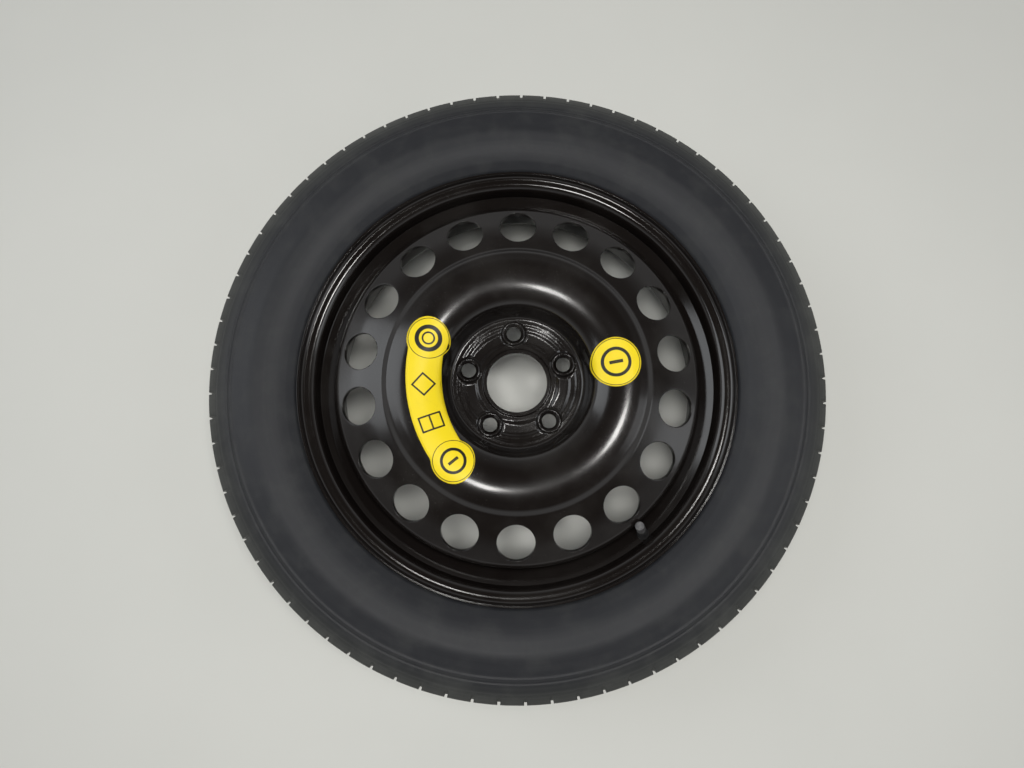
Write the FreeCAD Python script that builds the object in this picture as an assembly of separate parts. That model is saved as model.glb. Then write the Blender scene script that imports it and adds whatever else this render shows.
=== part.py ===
"""Temporary spare wheel: a narrow tyre on a welded steel disc wheel, lying flat with its street side up.

Millimetres. The wheel's axis is Z, and z = 0 is the middle plane of the tyre.
"""
import FreeCAD, Part
import math
import os

# Tyre
CROWN_R = 327.5
TREAD_EDGE_R = 325.2
TREAD_EDGE_Z = 59.0
TREAD_EDGE_FILLET = 5.0
BUTTRESS_R = 314.0
BUTTRESS_Z = 67.0
BULGE_R = 275.0
BULGE_Z = 75.4
RIM_LINE_R = 241.0
RIM_LINE_Z = 65.5
CLINCH_ANGLE = 35.0
CLINCH_REACH = 7.0
REST_RIB_Z = 76.0
REST_RIB_WIDTH = 8.0
REST_RIB_ROOT = 3.0
CROWN_WALL = 12.5
SIDE_WALL = 5.5
SHOULDER_LINER_R = 309.5
SHOULDER_LINER_Z = 58.5
BEAD_WIDTH = 12.3
BEAD_HEIGHT = 8.0
APEX_R = 243.0
APEX_Z = 58.5
APEX_BEND = 10.0
LINER_BEND = 60.0
SHOULDER_LINER_BEND = 20.0
GROOVE_DEPTH = 4.5
GROOVE_WIDTH = 7.0
GROOVE_SPACING = 27.0
NOTCH_COUNT = 77
NOTCH_WIDTH = 2.2
NOTCH_DEPTH = 4.0
NOTCH_INNER_Z = 41.0
BEAD_FIT = 0.15

# Rim, measured on the side that the tyre sits on
RIM_SHEET = 2.6
LIP_R = 232.6
LIP_Z = 60.0
LIP_BEND = 8.2
SEAT_HALF_WIDTH = 50.8
SEAT_R = 218.3
SEAT_HEEL_BEND = 6.4
SEAT_INNER_R = 216.6
SEAT_INNER_Z = 38.5
SEAT_END_BEND = 8.0
HUMP_R = 217.6
HUMP_Z = 33.5
HUMP_BEND = 4.5
LEDGE_INNER_R = 200.6
LEDGE_INNER_Z = 25.4
LEDGE_BEND = 5.0
WELL_R = 197.7
WELL_TOP_Z = 18.5
WELL_BOTTOM_Z = 5.0
WELL_BEND = 7.0

# Disc, measured on its street side
DISC_SHEET = 4.0
HUB_FACE_Z = 35.0
HUB_R = 72.0
HUB_BEND = 5.0
WALL_TOP_R = 80.5
WALL_TOP_Z = 66.0
WALL_TOP_BEND = 14.0
CREST_R = 107.0
CREST_Z = 78.6
CREST_BEND = 60.0
DOME_EDGE_R = 136.0
DOME_EDGE_Z = 71.4
DOME_EDGE_BEND = 10.0
CREASE_R = 141.5
CREASE_Z = 67.6
CREASE_BEND = 6.0
ANNULUS_R = 165.0
ANNULUS_Z = 62.6
ANNULUS_BEND = 120.0
CORNER_Z = 50.6
CORNER_BEND = 8.0
SKIRT_END_Z = 13.0
SKIRT_FIT = 0.1
BORE_R = 32.55
COLLAR_WIDTH = 4.2
COLLAR_HEIGHT = 1.8
COLLAR_CHAMFER = 0.9
CHANNEL_INNER_R = 43.0
CHANNEL_OUTER_R = 58.0
CHANNEL_DEPTH = 1.6
CHANNEL_SLOPE = 2.0
HUB_STEP_R = 63.0
HUB_STEP_HEIGHT = 1.2
PITCH_CIRCLE = 108.0
BOLT_COUNT = 5
BOLT_HOLE_R = 7.7
BOLT_SEAT_R = 10.6
BOLT_SEAT_DEPTH = 3.4
BOLT_BOSS_R = 13.0
BOLT_BOSS_TOP_R = 12.0
BOLT_BOSS_HEIGHT = 3.2
VENT_COUNT = 18
VENT_CIRCLE_R = 168.4
VENT_R = 19.8
VALVE_ANGLE = -50.4

# Welds between skirt and well
WELD_COUNT = 8
WELD_SPAN = 24.0
WELD_LEG = 4.0
WELD_GAP = 0.1

# Snap-in valve, measured along its own axis from the ledge's tyre side
VALVE_HOLE_R = 5.65
VALVE_LEDGE_SHARE = 0.47
BODY_FLANGE_R = 6.4
BODY_FLANGE_HEIGHT = 2.0
BODY_SHANK_R = 5.9
BODY_NECK_R = 4.6
BODY_NECK_HEIGHT = 17.0
BODY_BULB_R = 7.4
BODY_BULB_LENGTH = 7.0
BODY_TAIL_R = 5.6
BODY_TAIL_LENGTH = 12.0
BODY_FIT = 0.1
STEM_R = 3.6
STEM_THREAD_R = 3.85
STEM_TOP = 28.5
STEM_BOTTOM = 9.0
STEM_FIT = 0.05
AIRWAY_R = 1.6
CORE_BORE_R = 2.45
CORE_SEAT = 13.0
PLUG_TOP_RECESS = 1.0
PLUG_LENGTH = 5.0
PLUG_BORE_R = 0.95
PLUG_CLEARANCE = 0.05
BARREL_R = 1.9
BARREL_LENGTH = 6.5
BARREL_BORE_R = 1.5
BARREL_LIP_R = 0.8
BARREL_LIP = 0.4
GASKET_R = 2.4
GASKET_LENGTH = 2.2
PIN_R = 0.5
PIN_HEAD_R = 0.75
PIN_HEAD_LENGTH = 1.0
PIN_COLLAR_R = 1.2
PIN_COLLAR_LENGTH = 0.6
PIN_TRAVEL = 1.2
SEAL_R = 1.45
SEAL_LENGTH = 1.4
SPRING_R = 1.05
SPRING_WIRE = 0.35
SPRING_TURNS = 5
CAP_R = 4.8
CAP_TOP = 31.0
CAP_TOP_WALL = 1.4
CAP_SKIRT = 18.6
CAP_CLEARANCE = 0.3
CAP_EDGE = 0.8
CAP_FLUTES = 12
CAP_FLUTE_R = 0.5
CAP_SEAL_R = 3.9
CAP_SEAL_THICKNESS = 0.85
CAP_SEAL_BORE_R = 1.5
CAP_SEAL_GAP = 0.1

# Vinyl labels on the dome
LABEL_THICKNESS = 0.25
LABEL_GAP = 0.15
ROUND_LABEL_R = 26.0
ROUND_LABEL_AT_R = 104.1
ROUND_LABEL_ANGLE = 9.1
ARC_LABEL_R = 143.0
ARC_LABEL_WIDTH = 36.0
ARC_LABEL_END_R = 22.6
ARC_LABEL_CENTRE_X = 45.7
ARC_LABEL_CENTRE_Y = 4.9
ARC_LABEL_START = 165.1
ARC_LABEL_END = 219.4

AXIS = FreeCAD.Vector(0, 0, 1)
ORIGIN = FreeCAD.Vector(0, 0, 0)
FULL_TURN = 360.0
SAME = 1e-6


def at(r, z):
    """Point of the half plane that every turned section is drawn in."""
    return FreeCAD.Vector(r, 0, z)


def heading(p, q):
    return math.atan2(q[1] - p[1], q[0] - p[0])


def turn_at(points, i):
    """Signed change of heading at point i, positive to the left."""
    change = heading(points[i], points[i + 1]) - heading(points[i - 1], points[i])
    return math.atan2(math.sin(change), math.cos(change))


def rounded(points):
    """Edges along points (r, z, bend radius), with each inner corner rounded by its bend radius."""
    edges = []
    last = points[0]
    for i in range(1, len(points) - 1):
        r, z, bend = points[i]
        turn = turn_at(points, i)
        back = bend * abs(math.tan(turn / 2))
        into = heading(points[i - 1], points[i])
        out = heading(points[i], points[i + 1])
        start = (r - back * math.cos(into), z - back * math.sin(into))
        end = (r + back * math.cos(out), z + back * math.sin(out))
        if bend > 0 and abs(turn) > SAME:
            bulge = bend / math.cos(turn / 2) - bend
            inward = (into + out) / 2 + math.copysign(math.pi / 2, turn)
            if abs(into - out) > math.pi:
                inward += math.pi
            middle = (r + bulge * math.cos(inward), z + bulge * math.sin(inward))
            edges.append(Part.LineSegment(at(*last[:2]), at(*start)).toShape())
            edges.append(Part.Arc(at(*start), at(*middle), at(*end)).toShape())
            last = end
        else:
            edges.append(Part.LineSegment(at(*last[:2]), at(r, z)).toShape())
            last = (r, z)
    edges.append(Part.LineSegment(at(*last[:2]), at(*points[-1][:2])).toShape())
    return edges


def offset(points, distance):
    """The path that far to the left of points, with mitred corners and bends that keep their centres."""
    moved = []
    count = len(points)
    for i, (r, z, bend) in enumerate(points):
        before = heading(points[max(i - 1, 0)], points[max(i, 1)])
        after = heading(points[min(i, count - 2)], points[min(i + 1, count - 1)])
        turn = math.atan2(math.sin(after - before), math.cos(after - before))
        side = before + turn / 2 + math.pi / 2
        reach = distance / math.cos(turn / 2)
        new_bend = bend - distance * math.copysign(1, turn) if abs(turn) > SAME else 0
        moved.append((r + reach * math.cos(side), z + reach * math.sin(side), new_bend))
    return moved


def turned(*paths):
    """Solid of revolution about Z, from paths that follow each other round a closed section."""
    edges = []
    for path in paths:
        if edges:
            end = edges[-1].Vertexes[-1].Point
            start = at(*path[0][:2])
            if end.distanceToPoint(start) > SAME:
                edges.append(Part.LineSegment(end, start).toShape())
        edges += rounded(path)
    first, last = at(*paths[0][0][:2]), at(*paths[-1][-1][:2])
    if first.distanceToPoint(last) > SAME:
        edges.append(Part.LineSegment(last, first).toShape())
    wire = Part.Wire(Part.sortEdges(edges)[0])
    return Part.Face(wire).revolve(ORIGIN, AXIS, FULL_TURN)


def corners(*pairs):
    """Path with sharp corners."""
    return [(r, z, 0) for r, z in pairs]


def around(shape, count, start=0.0):
    """Copies of shape turned about Z, evenly spaced from the start angle."""
    step = FULL_TURN / count
    copies = []
    for i in range(count):
        copy = shape.copy()
        copy.rotate(ORIGIN, AXIS, start + i * step)
        copies.append(copy)
    return copies


def mirrored(points):
    """The same path on the wheel's back, walked the other way."""
    return [(r, -z, bend) for r, z, bend in reversed(points)]


def make_rim():
    """Rolled band: flange, bead seat, hump and valve ledge, well, and a long flare to the back seat."""
    flange = [
        (LIP_R, LIP_Z, 0),
        (LIP_R, SEAT_HALF_WIDTH, LIP_BEND),
        (SEAT_R, SEAT_HALF_WIDTH, SEAT_HEEL_BEND),
        (SEAT_INNER_R, SEAT_INNER_Z, SEAT_END_BEND),
        (HUMP_R, HUMP_Z, HUMP_BEND),
    ]
    well = [
        (LEDGE_INNER_R, LEDGE_INNER_Z, LEDGE_BEND),
        (WELL_R, WELL_TOP_Z, WELL_BEND),
        (WELL_R, WELL_BOTTOM_Z, WELL_BEND),
    ]
    tyre_side = flange + well + mirrored(flange)
    wheel_side = offset(tyre_side, -RIM_SHEET)
    band = turned(tyre_side, list(reversed(wheel_side)))
    hole = Part.makeCylinder(VALVE_HOLE_R, 4 * RIM_SHEET, FreeCAD.Vector(0, 0, -2 * RIM_SHEET))
    return band.cut(on_valve_axis(hole))


def ledge_frame():
    """Foot of the valve's axis on the ledge's tyre side, and the lean of that axis towards the wheel's."""
    r = HUMP_R + (LEDGE_INNER_R - HUMP_R) * VALVE_LEDGE_SHARE
    z = HUMP_Z + (LEDGE_INNER_Z - HUMP_Z) * VALVE_LEDGE_SHARE
    lean = math.degrees(math.atan2(HUMP_Z - LEDGE_INNER_Z, HUMP_R - LEDGE_INNER_R))
    return r, z, lean


def on_valve_axis(shape):
    """Moves a shape from its own axis along Z to the valve's place in the wheel."""
    r, z, lean = ledge_frame()
    moved = shape.copy()
    moved.rotate(ORIGIN, FreeCAD.Vector(0, 1, 0), -lean)
    moved.translate(FreeCAD.Vector(r, 0, z))
    moved.rotate(ORIGIN, AXIS, VALVE_ANGLE)
    return moved


SKIRT_R = WELL_R - RIM_SHEET - SKIRT_FIT
DISC_FRONT_Z = HUB_FACE_Z + DISC_SHEET


def dome_path():
    """Street side of the pressed sheet, from the hub's edge over the dome and the vent ring to the skirt."""
    return [
        (HUB_R, DISC_FRONT_Z, HUB_BEND),
        (WALL_TOP_R, WALL_TOP_Z, WALL_TOP_BEND),
        (CREST_R, CREST_Z, CREST_BEND),
        (DOME_EDGE_R, DOME_EDGE_Z, DOME_EDGE_BEND),
        (CREASE_R, CREASE_Z, CREASE_BEND),
        (ANNULUS_R, ANNULUS_Z, ANNULUS_BEND),
        (SKIRT_R, CORNER_Z, CORNER_BEND),
        (SKIRT_R, SKIRT_END_Z, 0),
    ]


def make_disc():
    """Pressed disc: hub with collar, channel and bolt seats, domed middle, vents and skirt."""
    hub_front = corners(
        (BORE_R, DISC_FRONT_Z + COLLAR_HEIGHT),
        (BORE_R + COLLAR_WIDTH - COLLAR_CHAMFER, DISC_FRONT_Z + COLLAR_HEIGHT),
        (BORE_R + COLLAR_WIDTH, DISC_FRONT_Z + COLLAR_HEIGHT - COLLAR_CHAMFER),
        (BORE_R + COLLAR_WIDTH + COLLAR_CHAMFER, DISC_FRONT_Z),
        (CHANNEL_INNER_R, DISC_FRONT_Z),
        (CHANNEL_INNER_R + CHANNEL_SLOPE, DISC_FRONT_Z - CHANNEL_DEPTH),
        (CHANNEL_OUTER_R - CHANNEL_SLOPE, DISC_FRONT_Z - CHANNEL_DEPTH),
        (CHANNEL_OUTER_R, DISC_FRONT_Z),
        (HUB_STEP_R, DISC_FRONT_Z),
        (HUB_STEP_R + HUB_STEP_HEIGHT, DISC_FRONT_Z + HUB_STEP_HEIGHT),
    )
    dome = dome_path()
    back = offset([(BORE_R, DISC_FRONT_Z, 0)] + dome, -DISC_SHEET)
    raised_hub = (HUB_R, DISC_FRONT_Z + HUB_STEP_HEIGHT, HUB_BEND)
    disc = turned(hub_front + [raised_hub] + dome[1:], list(reversed(back)))
    boss = Part.makeCone(BOLT_BOSS_R, BOLT_BOSS_TOP_R, BOLT_BOSS_HEIGHT + CHANNEL_DEPTH)
    boss.translate(FreeCAD.Vector(PITCH_CIRCLE / 2, 0, DISC_FRONT_Z - CHANNEL_DEPTH))
    disc = disc.fuse(around(boss, BOLT_COUNT, VALVE_ANGLE))
    seat_top = DISC_FRONT_Z + BOLT_BOSS_HEIGHT
    hole = Part.makeCylinder(BOLT_HOLE_R, seat_top, FreeCAD.Vector(PITCH_CIRCLE / 2, 0, 0))
    seat = Part.makeCone(BOLT_HOLE_R, BOLT_SEAT_R, BOLT_SEAT_DEPTH)
    seat.translate(FreeCAD.Vector(PITCH_CIRCLE / 2, 0, seat_top - BOLT_SEAT_DEPTH))
    cutters = around(hole, BOLT_COUNT, VALVE_ANGLE) + around(seat, BOLT_COUNT, VALVE_ANGLE)
    slope = math.degrees(math.atan2(ANNULUS_Z - CORNER_Z, SKIRT_R - ANNULUS_R))
    vent = Part.makeCylinder(VENT_R, 6 * DISC_SHEET, FreeCAD.Vector(0, 0, -3 * DISC_SHEET))
    vent.rotate(ORIGIN, FreeCAD.Vector(0, 1, 0), slope)
    drop = (VENT_CIRCLE_R - ANNULUS_R) * math.tan(math.radians(slope))
    vent.translate(FreeCAD.Vector(VENT_CIRCLE_R, 0, ANNULUS_Z - drop))
    cutters += around(vent, VENT_COUNT, VALVE_ANGLE)
    return disc.cut(cutters).removeSplitter()


def make_welds():
    """Short fillet welds between the skirt's lower edge and the well."""
    well_r = WELL_R - RIM_SHEET
    section = corners(
        (well_r - WELD_GAP, SKIRT_END_Z - WELD_GAP),
        (well_r - WELD_GAP, SKIRT_END_Z - WELD_GAP - WELD_LEG),
        (well_r - WELD_GAP - WELD_LEG, SKIRT_END_Z - WELD_GAP),
    )
    wire = Part.makePolygon([at(r, z) for r, z, bend in section + section[:1]])
    bead = Part.Face(wire).revolve(ORIGIN, AXIS, WELD_SPAN)
    return Part.makeCompound(around(bead, WELD_COUNT, VALVE_ANGLE + WELD_SPAN / 2))


def make_tyre():
    """Moulded tyre: tread with grooves and shoulder notches, bulged sidewalls and beads on the rim's seats."""
    floor_r = CROWN_R - GROOVE_DEPTH
    half_groove = GROOVE_WIDTH / 2
    tread = [
        (floor_r, 0, 0),
        (floor_r, half_groove, 0),
        (CROWN_R, half_groove, 0),
        (CROWN_R, GROOVE_SPACING - half_groove, 0),
        (floor_r, GROOVE_SPACING - half_groove, 0),
        (floor_r, GROOVE_SPACING + half_groove, 0),
        (CROWN_R, GROOVE_SPACING + half_groove, 0),
        (TREAD_EDGE_R, TREAD_EDGE_Z, TREAD_EDGE_FILLET),
        (BUTTRESS_R, BUTTRESS_Z, 0),
    ]
    seat_lean = math.atan2(SEAT_R - SEAT_INNER_R, SEAT_HALF_WIDTH - SEAT_INNER_Z)
    heel_r = SEAT_R + BEAD_FIT / math.cos(seat_lean)
    heel_z = SEAT_HALF_WIDTH - BEAD_FIT
    toe_r = heel_r - BEAD_WIDTH * math.tan(seat_lean) + BEAD_FIT
    bead = [
        (RIM_LINE_R, RIM_LINE_Z, 0),
        clinch_point(CLINCH_REACH),
        clinch_corner(),
        (heel_r, heel_z, SEAT_HEEL_BEND - BEAD_FIT),
        (toe_r, heel_z - BEAD_WIDTH, 0),
        (toe_r + BEAD_HEIGHT, heel_z - BEAD_WIDTH, BEAD_HEIGHT / 2),
        (APEX_R, APEX_Z, APEX_BEND),
        (BULGE_R, BULGE_Z - SIDE_WALL, LINER_BEND),
        (SHOULDER_LINER_R, SHOULDER_LINER_Z, SHOULDER_LINER_BEND),
        (CROWN_R - CROWN_WALL, 0, 0),
    ]
    side = sidewall_arcs()
    half = rounded(tread) + side + rounded(bead)
    axis_cut = Part.LineSegment(at(CROWN_R - CROWN_WALL, 0), at(floor_r, 0)).toShape()
    wire = Part.Wire(Part.sortEdges(half + [axis_cut])[0])
    top = Part.Face(wire).revolve(ORIGIN, AXIS, FULL_TURN)
    top = top.cut(around(shoulder_notch(), NOTCH_COUNT))
    rib = turned(corners(
        (BULGE_R - REST_RIB_WIDTH / 2 - REST_RIB_ROOT, BULGE_Z - REST_RIB_ROOT),
        (BULGE_R - REST_RIB_WIDTH / 2, REST_RIB_Z),
        (BULGE_R + REST_RIB_WIDTH / 2, REST_RIB_Z),
        (BULGE_R + REST_RIB_WIDTH / 2 + REST_RIB_ROOT, BULGE_Z - REST_RIB_ROOT),
    ))
    top = top.fuse(rib)
    bottom = top.mirror(ORIGIN, AXIS)
    bottom.rotate(ORIGIN, AXIS, FULL_TURN / NOTCH_COUNT / 2)
    return top.fuse(bottom).removeSplitter()


def clinch_point(reach):
    """Point on the line that leaves the flange's curve at the clinch angle, that far from the curve."""
    angle = math.radians(CLINCH_ANGLE)
    curve = LIP_BEND + BEAD_FIT
    r = LIP_R - LIP_BEND + curve * math.cos(angle) + reach * math.sin(angle)
    z = SEAT_HALF_WIDTH + LIP_BEND - curve * math.sin(angle) + reach * math.cos(angle)
    return r, z, 0


def clinch_corner():
    """Corner whose rounding is the flange's curve, just clear of the steel, down to the bead's upright face."""
    curve = LIP_BEND + BEAD_FIT
    turn = math.radians(90 - CLINCH_ANGLE)
    r, z, bend = clinch_point(-curve * math.tan(turn / 2))
    return r, z, curve


def sidewall_arcs():
    """Two arcs that share the level tangent at the sidewall's widest point."""
    edges = []
    ends = ((BUTTRESS_R, BUTTRESS_Z), (RIM_LINE_R, RIM_LINE_Z))
    for r, z in ends:
        run, drop = abs(r - BULGE_R), BULGE_Z - z
        radius = (run * run + drop * drop) / (2 * drop)
        half_angle = math.asin(run / radius) / 2
        side = math.copysign(1, r - BULGE_R)
        middle = at(BULGE_R + side * radius * math.sin(half_angle),
                    BULGE_Z - radius * (1 - math.cos(half_angle)))
        edges.append(Part.Arc(at(r, z), middle, at(BULGE_R, BULGE_Z)).toShape())
    return edges


def shoulder_notch():
    """One slot across the tread's edge, as a cutter."""
    length = BUTTRESS_Z - NOTCH_INNER_Z
    return Part.makeBox(2 * NOTCH_DEPTH, NOTCH_WIDTH, length,
                        FreeCAD.Vector(TREAD_EDGE_R - NOTCH_DEPTH, -NOTCH_WIDTH / 2, NOTCH_INNER_Z))


def make_valve_body():
    """Rubber body: tail and bulb inside the rim, groove in the hole, flange and tapered neck outside."""
    outside = RIM_SHEET + BODY_FIT
    groove_r = VALVE_HOLE_R - BODY_FIT
    path = corners(
        (STEM_R + STEM_FIT, -BODY_TAIL_LENGTH),
        (BODY_TAIL_R, -BODY_TAIL_LENGTH),
        (BODY_BULB_R, -BODY_BULB_LENGTH),
        (BODY_BULB_R, -BODY_FIT),
        (groove_r, -BODY_FIT),
        (groove_r, outside),
        (BODY_FLANGE_R, outside),
        (BODY_FLANGE_R, outside + BODY_FLANGE_HEIGHT / 2),
        (BODY_SHANK_R, outside + BODY_FLANGE_HEIGHT),
        (BODY_NECK_R, BODY_NECK_HEIGHT),
        (STEM_R + STEM_FIT, BODY_NECK_HEIGHT),
    )
    return on_valve_axis(turned(path))


def make_valve_stem():
    """Brass tube with the cap's thread outside and the core's seat inside."""
    path = corners(
        (AIRWAY_R, -STEM_BOTTOM),
        (STEM_R, -STEM_BOTTOM),
        (STEM_R, BODY_NECK_HEIGHT),
        (STEM_THREAD_R, BODY_NECK_HEIGHT + CAP_EDGE),
        (STEM_THREAD_R, STEM_TOP - CAP_EDGE),
        (STEM_R, STEM_TOP),
        (CORE_BORE_R, STEM_TOP),
        (CORE_BORE_R, CORE_SEAT + GASKET_LENGTH),
        (AIRWAY_R + BARREL_R - BARREL_BORE_R, CORE_SEAT),
        (AIRWAY_R + BARREL_R - BARREL_BORE_R, CORE_SEAT - BARREL_LENGTH),
        (AIRWAY_R, CORE_SEAT - BARREL_LENGTH - CAP_EDGE),
    )
    return on_valve_axis(turned(path))


PLUG_TOP = STEM_TOP - PLUG_TOP_RECESS
PLUG_BOTTOM = PLUG_TOP - PLUG_LENGTH
GASKET_BOTTOM = CORE_SEAT + GASKET_LENGTH + PLUG_CLEARANCE
BARREL_BOTTOM = GASKET_BOTTOM - BARREL_LENGTH


def make_core_plug():
    """Screwed plug with the barrel below it, bored for the pin and its spring."""
    plug_r = CORE_BORE_R - PLUG_CLEARANCE
    path = corners(
        (PLUG_BORE_R, PLUG_TOP),
        (plug_r, PLUG_TOP),
        (plug_r, PLUG_BOTTOM),
        (BARREL_R - PLUG_CLEARANCE, PLUG_BOTTOM),
        (BARREL_R - PLUG_CLEARANCE, BARREL_BOTTOM),
        (BARREL_LIP_R, BARREL_BOTTOM),
        (BARREL_LIP_R, BARREL_BOTTOM + BARREL_LIP),
        (BARREL_BORE_R, BARREL_BOTTOM + BARREL_LIP),
        (BARREL_BORE_R, PLUG_BOTTOM),
        (PLUG_BORE_R, PLUG_BOTTOM),
    )
    return on_valve_axis(turned(path))


def make_core_gasket():
    """Seal ring round the barrel, under the plug."""
    path = corners(
        (BARREL_R, GASKET_BOTTOM),
        (GASKET_R, GASKET_BOTTOM),
        (GASKET_R, GASKET_BOTTOM + GASKET_LENGTH),
        (BARREL_R, GASKET_BOTTOM + GASKET_LENGTH),
    )
    return on_valve_axis(turned(path))


SEAL_TOP = BARREL_BOTTOM - PLUG_CLEARANCE
COLLAR_TOP = PLUG_BOTTOM - 2 * PIN_TRAVEL
SPRING_TOP = COLLAR_TOP - PIN_COLLAR_LENGTH


def make_core_pin():
    """Pin with a head to press, a collar for the spring and a foot that carries the seal cup."""
    head_top = PLUG_TOP
    path = corners(
        (0, SEAL_TOP - SEAL_LENGTH),
        (PIN_R, SEAL_TOP - SEAL_LENGTH),
        (PIN_R, SPRING_TOP),
        (PIN_COLLAR_R, SPRING_TOP),
        (PIN_COLLAR_R, COLLAR_TOP),
        (PIN_R, COLLAR_TOP),
        (PIN_R, head_top - PIN_HEAD_LENGTH),
        (PIN_HEAD_R, head_top - PIN_HEAD_LENGTH),
        (PIN_HEAD_R, head_top),
        (0, head_top),
    )
    return on_valve_axis(turned(path))


def make_core_seal():
    """Seal cup on the pin's foot, just under the barrel's mouth."""
    path = corners(
        (PIN_R, SEAL_TOP - SEAL_LENGTH),
        (SEAL_R, SEAL_TOP - SEAL_LENGTH),
        (SEAL_R, SEAL_TOP),
        (PIN_R, SEAL_TOP),
    )
    return on_valve_axis(turned(path))


def make_core_spring():
    """Coil spring round the pin, from the barrel's lip to the pin's collar: half turns of wire, each bent in one plane."""
    bottom = BARREL_BOTTOM + BARREL_LIP + SPRING_WIRE
    half_turns = 2 * SPRING_TURNS
    rise = (SPRING_TOP - SPRING_WIRE - bottom) / half_turns
    lean = math.atan2(rise, 2 * SPRING_R)
    halves = []
    for i in range(half_turns):
        side = 1 - 2 * (i % 2)
        start = FreeCAD.Vector(side * SPRING_R, 0, bottom + i * rise)
        middle = FreeCAD.Vector(0, 0, bottom + (i + 0.5) * rise)
        axis = FreeCAD.Vector(side * math.sin(lean), 0, math.cos(lean))
        section = Part.Face(Part.Wire(Part.makeCircle(SPRING_WIRE / 2, start, FreeCAD.Vector(0, 1, 0))))
        halves.append(section.revolve(middle, axis, FULL_TURN / 2))
    return on_valve_axis(halves[0].fuse(halves[1:]))


def make_valve_cap():
    """Screw cap with grip flutes round its skirt."""
    inner_r = STEM_THREAD_R + CAP_CLEARANCE
    path = corners(
        (0, CAP_TOP - CAP_TOP_WALL),
        (inner_r, CAP_TOP - CAP_TOP_WALL),
        (inner_r, CAP_SKIRT),
        (CAP_R, CAP_SKIRT),
        (CAP_R, CAP_TOP - CAP_EDGE),
        (CAP_R - CAP_EDGE, CAP_TOP),
        (0, CAP_TOP),
    )
    flute_foot = FreeCAD.Vector(CAP_R + CAP_FLUTE_R / 2, 0, CAP_SKIRT)
    flute = Part.makeCylinder(CAP_FLUTE_R, CAP_TOP - CAP_SKIRT, flute_foot)
    cap = turned(path).cut(around(flute, CAP_FLUTES))
    return on_valve_axis(cap)


def make_cap_seal():
    """Rubber washer held in the cap's closed end."""
    top = CAP_TOP - CAP_TOP_WALL - CAP_SEAL_GAP
    path = corners(
        (CAP_SEAL_BORE_R, top - CAP_SEAL_THICKNESS),
        (CAP_SEAL_R, top - CAP_SEAL_THICKNESS),
        (CAP_SEAL_R, top),
        (CAP_SEAL_BORE_R, top),
    )
    return on_valve_axis(turned(path))


def label_skin():
    """Thin skin that follows the dome, just clear of the paint."""
    dome = dome_path()[1:5]
    lower = offset(dome, LABEL_GAP)
    upper = offset(dome, LABEL_GAP + LABEL_THICKNESS)
    return turned(lower, list(reversed(upper)))


def disc_prism(r, centre_r, angle):
    """Upright round bar that stands at that radius and angle of the wheel."""
    bar = Part.makeCylinder(r, CREST_Z, FreeCAD.Vector(centre_r, 0, DISC_FRONT_Z))
    bar.rotate(ORIGIN, AXIS, angle)
    return bar


def make_round_label(skin):
    return skin.common(disc_prism(ROUND_LABEL_R, ROUND_LABEL_AT_R, ROUND_LABEL_ANGLE))


def make_arc_label(skin):
    """Curved band between two round ends, laid over the dome off its centre."""
    foot = FreeCAD.Vector(0, 0, DISC_FRONT_Z)
    sweep = ARC_LABEL_END - ARC_LABEL_START
    outer = Part.makeCylinder(ARC_LABEL_R + ARC_LABEL_WIDTH / 2, CREST_Z, foot, AXIS, sweep)
    inner = Part.makeCylinder(ARC_LABEL_R - ARC_LABEL_WIDTH / 2, CREST_Z, foot)
    band = outer.cut(inner)
    band.rotate(ORIGIN, AXIS, ARC_LABEL_START)
    ends = [disc_prism(ARC_LABEL_END_R, ARC_LABEL_R, a) for a in (ARC_LABEL_START, ARC_LABEL_END)]
    outline = band.fuse(ends).removeSplitter()
    outline.translate(FreeCAD.Vector(ARC_LABEL_CENTRE_X, ARC_LABEL_CENTRE_Y, 0))
    return skin.common(outline)


def solids(shape):
    """One solid as itself, several as a compound."""
    found = shape.Solids
    return found[0] if len(found) == 1 else Part.makeCompound(found)


skin = label_skin()
nodes = {
    "tyre": make_tyre(),
    "rim": make_rim(),
    "wheel_disc": make_disc(),
    "weld_beads": make_welds(),
    "valve_body": make_valve_body(),
    "valve_stem": make_valve_stem(),
    "core_plug": make_core_plug(),
    "core_gasket": make_core_gasket(),
    "core_pin": make_core_pin(),
    "core_spring": make_core_spring(),
    "core_seal": make_core_seal(),
    "valve_cap": make_valve_cap(),
    "cap_seal": make_cap_seal(),
    "label_round": make_round_label(skin),
    "label_arc": make_arc_label(skin),
}

os.makedirs("parts", exist_ok=True)
for name, shape in nodes.items():
    body = solids(shape)
    body.exportStep(f"parts/{name}.step")
    box = body.BoundBox
    print(name, len(shape.Solids), shape.isValid(), round(shape.Volume / 1000, 3), "cm3",
          [round(v, 2) for v in (box.XMin, box.XMax, box.YMin, box.YMax, box.ZMin, box.ZMax)])
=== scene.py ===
"""Looks of the temporary spare wheel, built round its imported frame: metres, axis along Z, street side up."""
import math

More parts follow.
